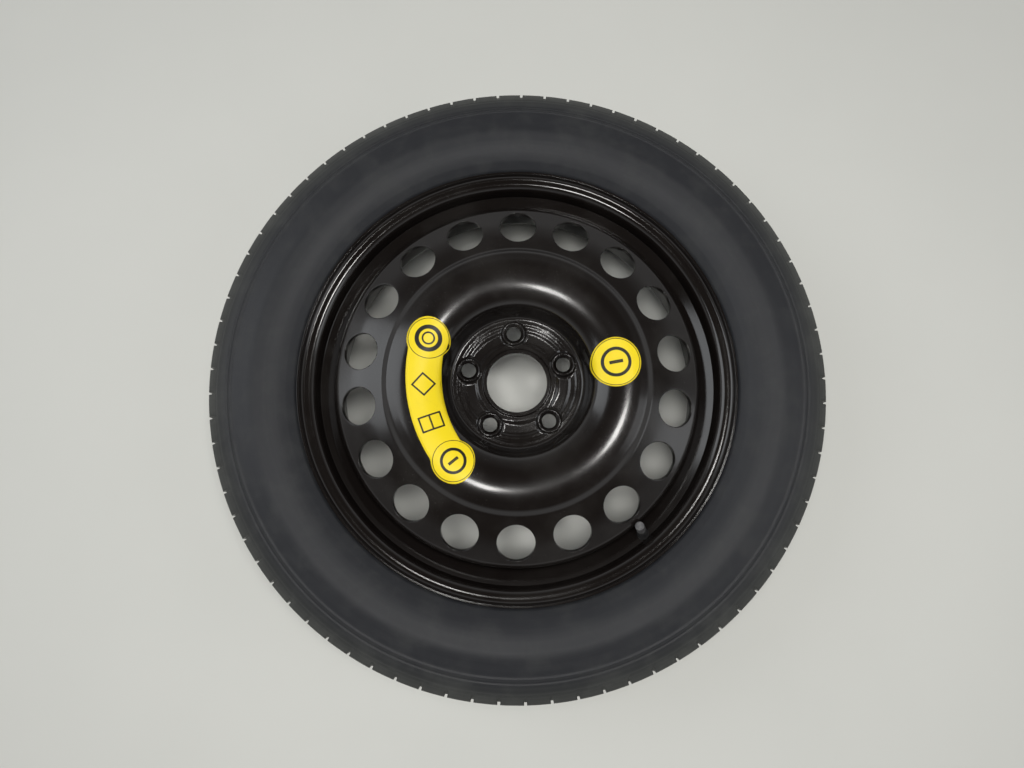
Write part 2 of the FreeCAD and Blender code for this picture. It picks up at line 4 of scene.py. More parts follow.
import bmesh
import bpy
import numpy as np
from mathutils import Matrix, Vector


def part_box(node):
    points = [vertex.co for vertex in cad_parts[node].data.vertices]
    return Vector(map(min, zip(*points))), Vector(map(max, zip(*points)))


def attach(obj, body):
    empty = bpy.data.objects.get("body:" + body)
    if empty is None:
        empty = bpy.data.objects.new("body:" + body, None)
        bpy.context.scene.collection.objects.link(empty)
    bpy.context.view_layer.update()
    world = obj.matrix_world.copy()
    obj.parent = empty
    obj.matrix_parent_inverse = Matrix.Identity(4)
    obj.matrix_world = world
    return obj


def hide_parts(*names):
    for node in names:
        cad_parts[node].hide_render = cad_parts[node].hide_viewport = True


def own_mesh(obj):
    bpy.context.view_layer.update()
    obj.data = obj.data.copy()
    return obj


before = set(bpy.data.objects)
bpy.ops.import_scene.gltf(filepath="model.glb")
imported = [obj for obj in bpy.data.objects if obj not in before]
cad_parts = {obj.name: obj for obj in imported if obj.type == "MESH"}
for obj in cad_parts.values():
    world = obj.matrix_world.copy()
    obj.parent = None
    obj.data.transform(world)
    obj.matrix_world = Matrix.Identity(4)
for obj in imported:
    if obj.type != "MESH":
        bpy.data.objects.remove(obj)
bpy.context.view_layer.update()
MM = 0.001

# Rim: one band of sheet steel, rolled to section with its flanges, bead seats, valve ledge and well,
# butt-welded, then dipped with the disc in gloss black paint. The cut edge of its lip shows as a double line.
RIM_SHEET = 2.6
RIM_EDGE_BEND = 0.55
RIM_FLANGE = [
    (232.6, 60.0, 0), (232.6, 50.8, 8.2), (218.3, 50.8, 6.4), (216.6, 38.5, 8.0), (217.6, 33.5, 4.5),
]
RIM_WELL = [(200.6, 25.4, 5.0), (197.7, 18.5, 7.0), (197.7, 5.0, 7.0)]
WHEEL_COLUMNS = 360
VALVE_ANGLE = math.radians(-50.4)
ARC_STEPS = 7
LINE_STOPS = (0.0, 0.05, 0.95)


def unit(vector):
    return vector / np.hypot(*vector)


def bent_path(points, closed=False, steps=ARC_STEPS, stops=LINE_STOPS):
    """Polyline of (r, z, bend) in mm whose corners become arcs of their bend radius, as an array of (r, z).

    Straight stretches get a stop close to each end, so that shading turns only in the bends.
    """
    corner = np.array([p[:2] for p in points], float)
    bends = np.array([p[2] for p in points], float)
    count = len(points)
    arcs = []
    for i in range(count):
        inner = closed or 0 < i < count - 1
        if not inner or bends[i] <= 0:
            arcs.append(corner[i][None])
            continue
        into = unit(corner[i] - corner[i - 1])
        out = unit(corner[(i + 1) % count] - corner[i])
        turn = math.atan2(into[0] * out[1] - into[1] * out[0], into @ out)
        back = bends[i] * math.tan(abs(turn) / 2)
        side = np.array([-into[1], into[0]]) * math.copysign(1, turn)
        centre = corner[i] - into * back + side * bends[i]
        swing = np.linspace(0, abs(turn), steps)[:, None]
        arcs.append(centre + bends[i] * (np.sin(swing) * into - np.cos(swing) * side))
    path = []
    for i in range(count if closed else count - 1):
        a, b = arcs[i][-1], arcs[(i + 1) % count][0]
        path.append(arcs[i][:-1])
        path.append(a + np.array(stops)[:, None] * (b - a))
    if not closed:
        path.append(arcs[-1][:1])
    return np.concatenate(path)


def beside(points, distance):
    """The same polyline that far to its left, with mitred corners and bends that keep their centres."""
    corner = np.array([p[:2] for p in points], float)
    step = np.diff(corner, axis=0)
    step /= np.linalg.norm(step, axis=1)[:, None]
    into = np.concatenate([step[:1], step])
    out = np.concatenate([step, step[-1:]])
    turn = np.arctan2(into[:, 0] * out[:, 1] - into[:, 1] * out[:, 0], (into * out).sum(1))
    middle = into + out
    middle /= np.linalg.norm(middle, axis=1)[:, None]
    left = np.stack([-middle[:, 1], middle[:, 0]], 1)
    moved = corner + left * (distance / np.cos(turn / 2))[:, None]
    bends = np.array([p[2] for p in points]) - distance * np.sign(turn)
    return [(r, z, max(b, 0)) for (r, z), b in zip(moved, bends)]


def spun(path, angles):
    """Path of (r, z) in mm turned about the wheel's axis: x = r cos a, y = r sin a, z, a row for each stop."""
    r, z = path[:, :1] * MM, path[:, 1:] * MM
    return np.stack([r * np.cos(angles), r * np.sin(angles), z + 0 * angles], -1)


def wheel_angles(count=WHEEL_COLUMNS):
    """Evenly spaced angles that start at the valve."""
    return VALVE_ANGLE + np.arange(count) * (2 * math.pi / count)


def quads(rows, columns, close_rows, close_columns):
    """Corner numbers of every cell of a grid of points, with its last row or column joined to the first."""
    u = np.arange(rows if close_rows else rows - 1)[:, None]
    v = np.arange(columns if close_columns else columns - 1)[None]
    u1, v1 = (u + 1) % rows, (v + 1) % columns
    corners = (u * columns + v, u * columns + v1, u1 * columns + v1, u1 * columns + v)
    return np.stack(np.broadcast_arrays(*corners), -1).reshape(-1, 4)


def make_piece(name, patches, weld=0.00002):
    """One smooth mesh from grids (points, close rows, close columns), doubles merged and faces outwards."""
    points, faces, base = [], [], 0
    for grid, close_rows, close_columns in patches:
        rows, columns = grid.shape[:2]
        points.append(grid.reshape(-1, 3))
        faces.append(quads(rows, columns, close_rows, close_columns) + base)
        base += rows * columns
    points, faces = np.concatenate(points), np.concatenate(faces)
    mesh = bpy.data.meshes.new(name)
    mesh.vertices.add(len(points))
    mesh.vertices.foreach_set("co", points.astype(np.float32).ravel())
    mesh.loops.add(faces.size)
    mesh.loops.foreach_set("vertex_index", faces.astype(np.int32).ravel())
    mesh.polygons.add(len(faces))
    mesh.polygons.foreach_set("loop_start", np.arange(0, faces.size, 4, dtype=np.int32))
    mesh.update(calc_edges=True)
    work = bmesh.new()
    work.from_mesh(mesh)
    bmesh.ops.remove_doubles(work, verts=work.verts, dist=weld)
    bmesh.ops.recalc_face_normals(work, faces=work.faces)
    work.to_mesh(mesh)
    work.free()
    mesh.polygons.foreach_set("use_smooth", np.ones(len(mesh.polygons), bool))
    piece = bpy.data.objects.new(name, mesh)
    bpy.context.scene.collection.objects.link(piece)
    return piece


class Value:
    """A number in a shader: arithmetic on it adds Math nodes to its recipe."""

    def __init__(self, recipe, socket):
        self.recipe, self.socket = recipe, socket

    def maths(self, operation, *others):
        return self.recipe.node("ShaderNodeMath", {"operation": operation}, dict(enumerate((self, *others))))

    def __add__(self, other):
        return self.maths("ADD", other)

    def __sub__(self, other):
        return self.maths("SUBTRACT", other)

    def __rsub__(self, other):
        return (self * -1).maths("ADD", other)

    def __mul__(self, other):
        return self.maths("MULTIPLY", other)

    def __abs__(self):
        return self.maths("ABSOLUTE")

    def rise(self, low, high):
        """0 below low, 1 above high, smooth between; falls instead where low is above high."""
        stops = {"From Min": low, "From Max": high, "To Min": 0.0, "To Max": 1.0}
        settings = {"interpolation_type": "SMOOTHSTEP"}
        if low > high:
            stops.update({"From Min": high, "From Max": low, "To Min": 1.0, "To Max": 0.0})
        return self.recipe.node("ShaderNodeMapRange", settings, {"Value": self, **stops})

    __radd__ = __add__
    __rmul__ = __mul__


class Recipe:
    """A finish, written as a shader that reads the object's own coordinates."""

    def __init__(self, name):
        self.material = bpy.data.materials.new(name)
        self.material.use_nodes = True
        self.tree = self.material.node_tree
        self.tree.nodes.clear()
        self.place = self.node("ShaderNodeTexCoord", {}, {}, "Object")

    def node(self, kind, settings, inputs, output=0):
        """Adds a node, sets it and fills its sockets with numbers, colours or links; gives one output."""
        made = self.tree.nodes.new(kind)
        for key, value in settings.items():
            setattr(made, key, value)
        for key, value in inputs.items():
            if isinstance(value, Value):
                self.tree.links.new(value.socket, made.inputs[key])
            else:
                made.inputs[key].default_value = value
        return Value(self, made.outputs[output])

    def noise(self, scale, detail=3.0, rough=0.5, place=None):
        inputs = {"Vector": place or self.place, "Scale": scale, "Detail": detail, "Roughness": rough}
        return self.node("ShaderNodeTexNoise", {}, inputs, "Fac")

    def part(self, axis, place=None):
        return self.node("ShaderNodeSeparateXYZ", {}, {0: place or self.place}, axis)

    def flat(self, place=None):
        """The place with its height taken out."""
        inputs = {0: place or self.place, 1: (1, 1, 0)}
        return self.node("ShaderNodeVectorMath", {"operation": "MULTIPLY"}, inputs)

    def distance(self, place, point=(0, 0, 0)):
        return self.node("ShaderNodeVectorMath", {"operation": "DISTANCE"}, {0: place, 1: point}, "Value")

    def mix(self, share, first, second):
        """Colour that goes from first to second with share."""
        settings = {"data_type": "RGBA"}
        inputs = {0: share, 6: first, 7: second}
        return self.node("ShaderNodeMix", settings, inputs, 2)

    def bump(self, height, strength, depth):
        inputs = {"Strength": strength, "Distance": depth, "Height": height}
        return self.node("ShaderNodeBump", {}, inputs)

    def finish(self, **sockets):
        names = {key.replace("_", " "): value for key, value in sockets.items()}
        shader = self.node("ShaderNodeBsdfPrincipled", {}, names)
        output = self.tree.nodes.new("ShaderNodeOutputMaterial")
        self.tree.links.new(shader.socket, output.inputs["Surface"])
        return self.material


def rgb(red, green, blue):
    return (red, green, blue, 1.0)


def black_paint(name, dust, gloss_rough, peel_depth):
    """Gloss black dip paint: slight orange peel, faint handling haze, and dust where it gathers."""
    paint = Recipe(name)
    peel = paint.noise(900.0, 2.0) + paint.noise(160.0, 2.0) * 0.7
    haze = paint.noise(14.0, 5.0, 0.6).rise(0.42, 0.72)
    specks = paint.noise(700.0, 2.0, 0.8).rise(0.66, 0.74) * paint.noise(40.0, 2.0).rise(0.45, 0.7)
    grime = haze * (0.05 * dust) + specks * (0.3 * dust)
    colour = paint.mix(grime, rgb(0.0058, 0.0045, 0.0041), rgb(0.12, 0.115, 0.105))
    rough = haze * 0.08 + specks * 0.2 + gloss_rough
    return paint.finish(Base_Color=colour, Roughness=rough, IOR=1.52, Coat_Weight=0.4, Coat_Roughness=0.1,
                        Normal=paint.bump(peel, 0.06, peel_depth))


def rim_outline():
    """Closed section of the band: the tyre's side down, the wheel's side back up, cut edges rounded."""
    back = [(r, -z, bend) for r, z, bend in reversed(RIM_FLANGE)]
    tyre_side = RIM_FLANGE + RIM_WELL + back
    wheel_side = beside(tyre_side, -RIM_SHEET)
    loop = tyre_side + wheel_side[::-1]
    lips = {0, len(tyre_side) - 1, len(tyre_side), len(loop) - 1}
    rounded = [(r, z, RIM_EDGE_BEND if i in lips else bend) for i, (r, z, bend) in enumerate(loop)]
    return bent_path(rounded, closed=True)


rim = make_piece("painted_rim", [(spun(rim_outline(), wheel_angles()), True, True)])
rim_paint = black_paint("rim_black_paint", 0.6, 0.1, 0.00005)
rim.data.materials.append(rim_paint)
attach(rim, "wheel")
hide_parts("rim")

# Disc: one blank of steel sheet, pressed into hub, dome, vent ring and skirt, with vents and bolt holes
# punched. It is pressed into the rim's well, welded there and painted with it.
DISC_SHEET = 4.0
HUB_FACE_Z = 35.0
DISC_FRONT_Z = HUB_FACE_Z + DISC_SHEET
BORE_R = 32.55
SKIRT_R = 195.0
HUB_STEP, BORE_LIP = 1.2, 1.8
HUB_FRONT = [
    (BORE_R, DISC_FRONT_Z + BORE_LIP, 0), (BORE_R + 3.6, DISC_FRONT_Z + BORE_LIP, 0.8),
    (BORE_R + 5.0, DISC_FRONT_Z, 0.8),
    (43.0, DISC_FRONT_Z, 1.0), (45.0, DISC_FRONT_Z - 1.6, 1.0), (56.0, DISC_FRONT_Z - 1.6, 1.0),
    (58.0, DISC_FRONT_Z, 1.0), (63.0, DISC_FRONT_Z, 1.0), (64.2, DISC_FRONT_Z + HUB_STEP, 1.0),
]
DOME = [
    (80.5, 66.0, 14.0), (107.0, 78.6, 60.0), (136.0, 71.4, 10.0), (141.5, 67.6, 6.0), (165.0, 62.6, 120.0),
    (SKIRT_R, 50.6, 8.0), (SKIRT_R, 13.0, 0),
]
HUB_EDGE = (72.0, 5.0)
BOLT_COUNT, BOLT_CIRCLE_R = 5, 54.0
BOLT_HOLE_R, BOLT_SEAT_R, BOSS_TOP_R, BOSS_FOOT_R = 7.7, 10.6, 12.0, 14.2
BOSS_TOP_Z, SEAT_DEPTH = DISC_FRONT_Z + 3.2, 3.4
BOSS_RINGS = (BOLT_SEAT_R, 10.75, 11.1, 11.6, 12.0, 12.35, 12.7, 13.1, 13.6)
SEAT_EDGE_R, SEAT_EDGE_RUN, SEAT_EDGE_DROP = 10.9, 0.3, 0.35
SEAT_FOOT_Z = BOSS_TOP_Z - SEAT_DEPTH
BOLT_BORE = [
    (BOLT_HOLE_R, HUB_FACE_Z), (BOLT_HOLE_R, HUB_FACE_Z + 0.3), (BOLT_HOLE_R, SEAT_FOOT_Z - 0.2),
    (BOLT_HOLE_R, SEAT_FOOT_Z), (BOLT_HOLE_R + 0.2, SEAT_FOOT_Z + 0.3),
    (BOLT_SEAT_R - 0.2, BOSS_TOP_Z - 0.6), (BOLT_SEAT_R, BOSS_TOP_Z - SEAT_EDGE_DROP),
]
HUB_CELL = (38.2, 69.8)
VENT_COUNT, VENT_CIRCLE_R, VENT_R = 18, 168.4, 19.8
VENT_CELL = (145.0, 189.0)
VENT_EDGE = 0.7
VENT_SPREAD = np.array([0.0, 0.03, 0.08, 0.18, 0.35, 0.55, 0.78, 1.0])


def resampled(path, low, high):
    """The stretch of a path between two radii, with its ends put exactly there."""
    r, z = path[:, 0], path[:, 1]
    stop = np.argmax(r >= high) if r.max() >= high else len(r)
    inner = path[:stop][(r[:stop] > low + 0.05) & (r[:stop] < high - 0.05)]
    ends = np.array([[end, np.interp(end, r[:stop + 1], z[:stop + 1])] for end in (low, high)])
    return np.concatenate([ends[:1], inner, ends[1:]])


def cell_edge(low, high, count, side_steps):
    """Outline of one of count like cells of a ring, as (r, angle from the cell's middle), anticlockwise."""
    steps = WHEEL_COLUMNS // count
    half = math.pi / count
    sweep = np.linspace(-half, half, steps + 1)
    climb = np.linspace(low, high, side_steps + 1)
    outer = np.stack([np.full(steps, high), sweep[:-1]], 1)
    left = np.stack([climb[:0:-1], np.full(side_steps, half)], 1)
    inner = np.stack([np.full(steps, low), sweep[:0:-1]], 1)
    right = np.stack([climb[:-1], np.full(side_steps, -half)], 1)
    return np.concatenate([outer, left, inner, right])


def holed_cell(edge, hole_at, hole_radial, hole_across, shares):
    """Plan grid between a hole's rim and its cell's edge: straight spokes, stops at shares of each spoke.

    Gives x along the cell's middle line and y across it, one row for each share, in mm.
    """
    x, y = edge[:, 0] * np.cos(edge[:, 1]), edge[:, 0] * np.sin(edge[:, 1])
    spoke = np.arctan2(y / hole_across, (x - hole_at) / hole_radial)
    rim_x, rim_y = hole_at + hole_radial * np.cos(spoke), hole_across * np.sin(spoke)
    s = np.asarray(shares)[:, None]
    return rim_x + s * (x - rim_x), rim_y + s * (y - rim_y)


def repeated(x, y, z, count):
    """The same cell at count places round the wheel, starting at the valve; x, y, z in mm."""
    turns = VALVE_ANGLE + np.arange(count) * (2 * math.pi / count)
    cells = [(x * math.cos(a) - y * math.sin(a), x * math.sin(a) + y * math.cos(a), z) for a in turns]
    return [np.stack(cell, -1) * MM for cell in cells]


def smooth(t):
    """3 t^2 - 2 t^3, held at 0 and 1 outside."""
    t = np.clip(t, 0, 1)
    return t * t * (3 - 2 * t)


def disc_front():
    """Street side of the disc's section, from the bore to the end of the skirt."""
    return bent_path(HUB_FRONT + [(HUB_EDGE[0], DISC_FRONT_Z + HUB_STEP, HUB_EDGE[1])] + DOME)


def disc_patches():
    """Grids of the disc's two sides: turned stretches, and cells round each bolt hole and each vent."""
    sheet = [(BORE_R, DISC_FRONT_Z, 0), (HUB_EDGE[0], DISC_FRONT_Z, HUB_EDGE[1])] + DOME
    front, back = disc_front(), bent_path(beside(sheet, -DISC_SHEET))
    angles = wheel_angles()
    last_front = front[np.argmax(front[:, 0] >= VENT_CELL[1]):]
    last_back = back[np.argmax(back[:, 0] >= VENT_CELL[1]):]
    corner_front = np.concatenate([resampled(front, VENT_CELL[0], VENT_CELL[1])[-1:], last_front])
    corner_back = np.concatenate([resampled(back, VENT_CELL[0], VENT_CELL[1])[-1:], last_back])
    skirt = np.concatenate([corner_front, corner_back[::-1]])
    inner_front = resampled(front, BORE_R, HUB_CELL[0])
    inner_back = resampled(back, BORE_R, HUB_CELL[0])
    collar = np.concatenate([inner_back[::-1], inner_front])
    dome = [resampled(side, HUB_CELL[1], VENT_CELL[0]) for side in (front, back)]
    patches = [(spun(path, angles), False, True) for path in (collar, *dome, skirt)]

    edge = cell_edge(*HUB_CELL, BOLT_COUNT, 16)
    rings = [holed_cell(edge, BOLT_CIRCLE_R, radius, radius, [0]) for radius in BOSS_RINGS]
    rings.append(holed_cell(edge, BOLT_CIRCLE_R, BOSS_FOOT_R, BOSS_FOOT_R, np.linspace(0, 1, 9)))
    x, y = [np.concatenate(part) for part in zip(*rings)]
    from_bolt = np.hypot(x - BOLT_CIRCLE_R, y)
    ground = np.interp(np.hypot(x, y), front[:, 0], front[:, 1])
    lift = smooth((BOSS_FOOT_R - from_bolt) / (BOSS_FOOT_R - BOSS_TOP_R))
    crown = BOSS_TOP_Z - SEAT_EDGE_DROP * smooth((SEAT_EDGE_R - from_bolt) / SEAT_EDGE_RUN)
    patches += [(grid, False, True) for grid in repeated(x, y, ground + (crown - ground) * lift, BOLT_COUNT)]
    bore = np.array(BOLT_BORE)
    rings = [holed_cell(edge, BOLT_CIRCLE_R, radius, radius, [0]) for radius in bore[:, 0]]
    x, y = [np.concatenate(part) for part in zip(*rings)]
    patches += [(grid, False, True) for grid in repeated(x, y, bore[:, 1:] + 0 * x, BOLT_COUNT)]
    x, y = holed_cell(edge, BOLT_CIRCLE_R, BOLT_HOLE_R, BOLT_HOLE_R, np.linspace(0, 1, 4))
    under = np.interp(np.hypot(x, y), back[:, 0], back[:, 1])
    patches += [(grid, False, True) for grid in repeated(x, y, under, BOLT_COUNT)]

    edge = cell_edge(*VENT_CELL, VENT_COUNT, 12)
    (slope_r, slope_z, _), (corner_r, corner_z, _) = DOME[4:6]
    fall = math.atan2(slope_z - corner_z, corner_r - slope_r)
    radial = VENT_R * math.cos(fall)
    x, y = holed_cell(edge, VENT_CIRCLE_R, radial + VENT_EDGE, VENT_R + VENT_EDGE, VENT_SPREAD)
    z = np.interp(np.hypot(x, y), front[:, 0], front[:, 1])
    patches += [(grid, False, True) for grid in repeated(x, y, z, VENT_COUNT)]
    lip_x, lip_y, lip_z = x[0], y[0], z[0]
    sunk = DISC_SHEET * math.sin(fall)
    back_lip = (radial + VENT_EDGE, VENT_R + VENT_EDGE)
    xb, yb = holed_cell(edge, VENT_CIRCLE_R - sunk, *back_lip, VENT_SPREAD[::2])
    zb = np.interp(np.hypot(xb, yb), back[:, 0], back[:, 1])
    patches += [(grid, False, True) for grid in repeated(xb, yb, zb, VENT_COUNT)]
    turn = np.linspace(0, math.pi / 2, 5)[:, None]
    hx, hy = holed_cell(edge, VENT_CIRCLE_R, radial, VENT_R, [0])
    bx, by = holed_cell(edge, VENT_CIRCLE_R - sunk, radial, VENT_R, [0])
    top_x = hx + (lip_x - hx) * (1 - np.sin(turn))
    top_y = hy + (lip_y - hy) * (1 - np.sin(turn))
    top_z = lip_z - VENT_EDGE * (1 - np.cos(turn))
    low_x = bx + (xb[0] - bx) * (1 - np.cos(turn))
    low_y = by + (yb[0] - by) * (1 - np.cos(turn))
    low_z = zb[0] + VENT_EDGE * (1 - np.sin(turn))
    wall = [np.concatenate(pair) for pair in ((top_x, low_x), (top_y, low_y), (top_z, low_z))]
    patches += [(grid, False, True) for grid in repeated(*wall, VENT_COUNT)]
    return patches


disc = make_piece("painted_disc", disc_patches())
disc_paint = black_paint("disc_black_paint", 1.0, 0.18, 0.00015)
disc.data.materials.append(disc_paint)
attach(disc, "wheel")
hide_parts("wheel_disc")

# Tyre: moulded rubber, mounted on the rim with its beads behind the flanges. It has a grooved tread with
# notched shoulders, and smooth sidewalls with fine mould rings, dusty towards the tread.
TREAD_PITCHES = 77
NOTCH_WIDTH, NOTCH_FLOOR_R, NOTCH_INNER_Z, NOTCH_LEAST_R = 2.9, 321.0, 41.0, 318.0
NOTCH_WALL = 0.0008
SKEW_HALF_Z = 20.0
TREAD = [
    (323.0, 0.0, 0), (323.0, 3.2, 0.4), (327.5, 3.8, 0.6), (327.5, 23.2, 0.6), (323.0, 23.8, 0.4),
    (323.0, 30.2, 0.4), (327.5, 30.8, 0.6), (326.7, 40.6, 0), (326.6, 41.4, 0), (325.2, 59.0, 5.0),
    (314.0, 67.0, 3.0),
]
SIDEWALL_TOP_R, SIDEWALL_TOP_Z = 312.5, 67.1
RIB_R, RIB_GROOVE_R, RIB_WIDTH, RIB_HEIGHT = 297.6, 301.2, 1.4, 1.1
BULGE = (275.0, 75.4)
REST_RING_HALF, REST_RING_FADE, REST_RING_Z = 4.0, 3.0, 76.0
BEAD = [
    (241.0, 65.5, 1.5), (235.2, 60.2, 1.0), (231.3, 54.1, 2.0), (226.0, 50.65, 3.0), (218.5, 50.65, 6.2),
    (216.9, 38.35, 1.0), (224.9, 38.35, 4.0), (243.0, 58.5, 10.0), (275.0, 69.9, 60.0),
    (309.5, 58.5, 20.0), (315.0, 0.0, 0),
]


def sidewall_path():
    """Two arcs that meet level at the bulge, from shoulder to rim line, with a faint resting ring there.

    The shoulder has a moulded rib with a groove outside it, both bell-shaped: h exp(-((r - r0) / w)^2).
    """
    near_rib = np.linspace(RIB_GROOVE_R + 3, RIB_R - 4, 12)
    above_rib = np.linspace(SIDEWALL_TOP_R, near_rib[0] + 2, 4)
    below_rib = np.linspace(near_rib[-1] - 2.6, BEAD[0][0] + 1.5, 14)
    r = np.concatenate([above_rib, near_rib, below_rib])
    run = np.abs(r - BULGE[0])
    end = np.where(r > BULGE[0], TREAD[-1][0], BEAD[0][0])
    drop = BULGE[1] - np.where(r > BULGE[0], TREAD[-1][1], BEAD[0][1])
    radius = ((end - BULGE[0]) ** 2 + drop ** 2) / (2 * drop)
    z = BULGE[1] - radius + np.sqrt(radius ** 2 - run ** 2)
    ring = smooth((REST_RING_HALF + REST_RING_FADE - run) / REST_RING_FADE)
    rib = np.exp(-((r - RIB_R) / RIB_WIDTH) ** 2) - np.exp(-((r - RIB_GROOVE_R) / RIB_WIDTH) ** 2)
    return np.stack([r, z + (REST_RING_Z - z) * ring + RIB_HEIGHT * rib], 1)


def tyre_grid():
    """Half section from the tread's middle over the sidewall to the bead and back inside, then mirrored.

    Each tread pitch has the same columns, and the back half is turned by half a pitch, blended over the tread.
    """
    tread = bent_path(TREAD + [(SIDEWALL_TOP_R + 0.5, SIDEWALL_TOP_Z, 0)], steps=3, stops=[0.0])
    bead = bent_path(BEAD, steps=3, stops=[0.0])
    outer = np.concatenate([tread, sidewall_path(), bead])
    section = np.concatenate([outer, (outer * [1, -1])[::-1][1:-1]])
    step = 2 * math.pi / TREAD_PITCHES
    notch = NOTCH_WIDTH / TREAD[-2][0] / step
    stops = np.concatenate([[0.0, NOTCH_WALL, notch - NOTCH_WALL, notch], np.linspace(notch, 1, 5)[1:-1]])
    turns = (np.arange(TREAD_PITCHES)[:, None] + stops).ravel() * step
    r, z = section[:, :1], section[:, 1:]
    skew = step / 2 * smooth((SKEW_HALF_Z - z) / (2 * SKEW_HALF_Z))
    cut = np.tile(np.isin(np.arange(len(stops)), (1, 2)), TREAD_PITCHES)
    tread_rows = (np.abs(z) > NOTCH_INNER_Z) & (r > NOTCH_LEAST_R)
    deep = np.where(tread_rows & cut, np.minimum(r, NOTCH_FLOOR_R), r)
    angle = turns + skew
    return np.stack([deep * np.cos(angle), deep * np.sin(angle), z + 0 * angle], -1) * MM


def tyre_rubber():
    """Aged black rubber: bluish sidewall, dusty grey-green shoulder, mould rings and scuffs."""
    rubber = Recipe("tyre_rubber")
    radius = rubber.distance(rubber.flat())
    ring_place = rubber.node("ShaderNodeCombineXYZ", {}, {0: radius, 1: rubber.part(2) * 0.5})
    mottle = rubber.noise(34.0, 8.0, 0.68)
    grain = rubber.noise(1400.0, 2.0, 0.6)
    rings = rubber.noise(420.0, 2.0, 0.6, ring_place)
    smudge = rubber.noise(5.0, 4.0, 0.6)
    shoulder = radius.rise(0.296, 0.322)
    dust = mottle.rise(0.42, 0.7) * (shoulder * 0.2 + 0.16) + rings.rise(0.4, 0.8) * (shoulder * 0.3 + 0.05)
    base = rubber.mix(shoulder, rgb(0.0155, 0.0165, 0.0195), rgb(0.022, 0.0235, 0.0225))
    colour = rubber.mix(dust, base, rgb(0.068, 0.07, 0.066))
    rough = smudge * 0.2 + mottle * 0.3 + 0.24
    height = grain * 0.3 + rings * 0.5 + mottle * 0.6
    return rubber.finish(Base_Color=colour, Roughness=rough, Specular_IOR_Level=0.45,
                         Normal=rubber.bump(height, 0.25, 0.0006))


tyre = make_piece("rubber_tyre", [(tyre_grid(), True, True)], weld=0.000001)
tyre.data.materials.append(tyre_rubber())
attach(tyre, "wheel")
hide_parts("tyre")

# Weld beads: short fillets of weld metal that join the skirt's end to the rim's well,
# painted over with the wheel.
weld_paint = black_paint("weld_black_paint", 1.6, 0.3, 0.0004)
bpy.data.objects["weld_beads"].data.materials.clear()
bpy.data.objects["weld_beads"].data.materials.append(weld_paint)

# Valve: a moulded rubber body, snapped into the rim's valve hole, round a brass stem. The core with its
# sprung pin is screwed into the stem, and a dull plastic cap is screwed onto it.


def plain_finish(name, colour, second, rough, metal=0.0):
    """Small part with slightly uneven colour and gloss."""
    finish = Recipe(name)
    cloud = finish.noise(260.0, 4.0, 0.6)
    shade = finish.mix(cloud.rise(0.35, 0.7), colour, second)
    grain = finish.bump(finish.noise(1500.0, 2.0), 0.1, 0.0001)
    return finish.finish(Base_Color=shade, Roughness=cloud * 0.2 + rough, Metallic=metal, Normal=grain)


BRASS_NODES = ("valve_stem", "core_plug", "core_pin")
SEAL_NODES = ("core_gasket", "core_seal", "cap_seal")
VALVE_FINISHES = {
    # nodes, two shades, roughness, metal
    "valve_rubber": (("valve_body",), rgb(0.016, 0.016, 0.017), rgb(0.03, 0.03, 0.03), 0.5, 0.0),
    "turned_brass": (BRASS_NODES, rgb(0.62, 0.43, 0.17), rgb(0.5, 0.34, 0.14), 0.25, 1.0),
    "spring_steel": (("core_spring",), rgb(0.5, 0.5, 0.5), rgb(0.42, 0.42, 0.42), 0.25, 1.0),
    "seal_rubber": (SEAL_NODES, rgb(0.02, 0.02, 0.02), rgb(0.03, 0.03, 0.03), 0.55, 0.0),
    "cap_plastic": (("valve_cap",), rgb(0.075, 0.075, 0.078), rgb(0.14, 0.14, 0.14), 0.4, 0.0),
}
for finish_name, (node_names, *look) in VALVE_FINISHES.items():
    finish = plain_finish(finish_name, *look)
    for node_name in node_names:
        bpy.data.objects[node_name].data.materials.clear()
        bpy.data.objects[node_name].data.materials.append(finish)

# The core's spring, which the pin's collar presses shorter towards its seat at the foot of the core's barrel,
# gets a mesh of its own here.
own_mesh(bpy.data.objects["core_spring"])

# Labels: two yellow vinyl stickers on the dome, one round and one curved with round ends, printed with
# plain black rings, frames and bars.
LABEL_LOW, LABEL_HIGH = 0.15, 0.40
ROUND_LABEL_R, ROUND_LABEL_AT_R, ROUND_LABEL_ANGLE = 26.0, 104.1, math.radians(9.1)
ARC_LABEL_R, ARC_LABEL_HALF, ARC_LABEL_END_R = 143.0, 18.0, 22.6
ARC_LABEL_CENTRE = np.array([45.7, 4.9])
ARC_LABEL_FROM, ARC_LABEL_TO = math.radians(165.1), math.radians(219.4)
VINYL, WORN_VINYL, INK = rgb(0.80, 0.62, 0.012), rgb(0.6, 0.44, 0.02), rgb(0.012, 0.011, 0.010)
INK_EDGE = 0.12


def on_dome(plan):
    """Closed thin skin on the dome over a plan grid of (x, y) in mm: its rows below, then back above."""
    front = disc_front()
    rise = np.interp(np.hypot(plan[..., 0], plan[..., 1]), front[:, 0], front[:, 1])
    low = np.concatenate([plan, (rise + LABEL_LOW)[..., None]], -1)
    high = np.concatenate([plan, (rise + LABEL_HIGH)[..., None]], -1)
    return np.concatenate([low, high[::-1]]) * MM


def at_angle(radius, angle):
    return radius * np.array([math.cos(angle), math.sin(angle)])


def round_label():
    """Disc of label: x = cx + p cos a, y = cy + p sin a, with p from the middle to the edge."""
    reach = np.linspace(0, ROUND_LABEL_R, 16)[:, None]
    swing = np.linspace(0, 2 * math.pi, 96, endpoint=False)
    centre = at_angle(ROUND_LABEL_AT_R, ROUND_LABEL_ANGLE)
    plan = np.stack([centre[0] + reach * np.cos(swing), centre[1] + reach * np.sin(swing)], -1)
    return make_piece("round_label", [(on_dome(plan), False, True)])


